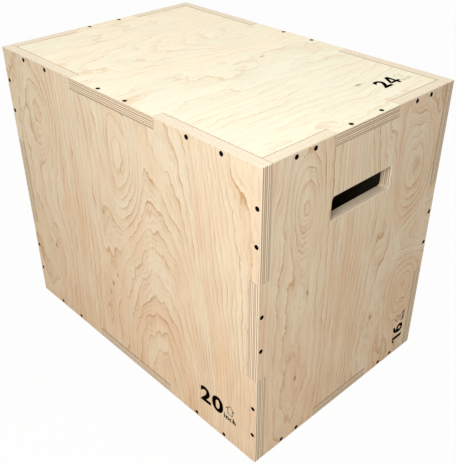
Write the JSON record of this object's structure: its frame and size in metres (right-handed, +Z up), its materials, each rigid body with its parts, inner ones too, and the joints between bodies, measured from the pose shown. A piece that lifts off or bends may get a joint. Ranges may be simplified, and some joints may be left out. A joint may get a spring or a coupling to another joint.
{
  "type": "plyo box",
  "caption": "Plywood plyometric jump box with interlocking finger-jointed panels, countersunk screws and hand slots in its ends; turns onto any face for a different height.",
  "frame": {"origin": "middle of the base, on the floor that the box stands on", "axes": "+X along the length to the right end, +Y along the depth to the back, +Z up"},
  "size_m": [0.6096, 0.4064, 0.508],
  "materials": {
    "birch_plywood": "sanded, clear matt",
    "black_screws": "black phosphate",
    "black_print": "matt ink, printed on the wood"
  },
  "bodies": {
    "root": {"back_panel": "birch_plywood", "back_panel_screws_to_bottom": "black_screws", "back_panel_screws_to_left_end": "black_screws", "back_panel_screws_to_right_end": "black_screws", "back_panel_screws_to_top": "black_screws", "bottom_panel": "birch_plywood", "bottom_panel_screws_to_back": "black_screws", "bottom_panel_screws_to_front": "black_screws", "bottom_panel_screws_to_left_end": "black_screws", "bottom_panel_screws_to_right_end": "black_screws", "front_panel": "birch_plywood", "front_panel_screws_to_bottom": "black_screws", "front_panel_screws_to_left_end": "black_screws", "front_panel_screws_to_right_end": "black_screws", "front_panel_screws_to_top": "black_screws", "left_end_panel": "birch_plywood", "left_end_panel_screws_to_back": "black_screws", "left_end_panel_screws_to_bottom": "black_screws", "left_end_panel_screws_to_front": "black_screws", "left_end_panel_screws_to_top": "black_screws", "right_end_panel": "birch_plywood", "right_end_panel_screws_to_back": "black_screws", "right_end_panel_screws_to_bottom": "black_screws", "right_end_panel_screws_to_front": "black_screws", "right_end_panel_screws_to_top": "black_screws", "top_panel": "birch_plywood", "top_panel_screws_to_back": "black_screws", "top_panel_screws_to_front": "black_screws", "top_panel_screws_to_left_end": "black_screws", "top_panel_screws_to_right_end": "black_screws"}
  },
  "joints": []
}
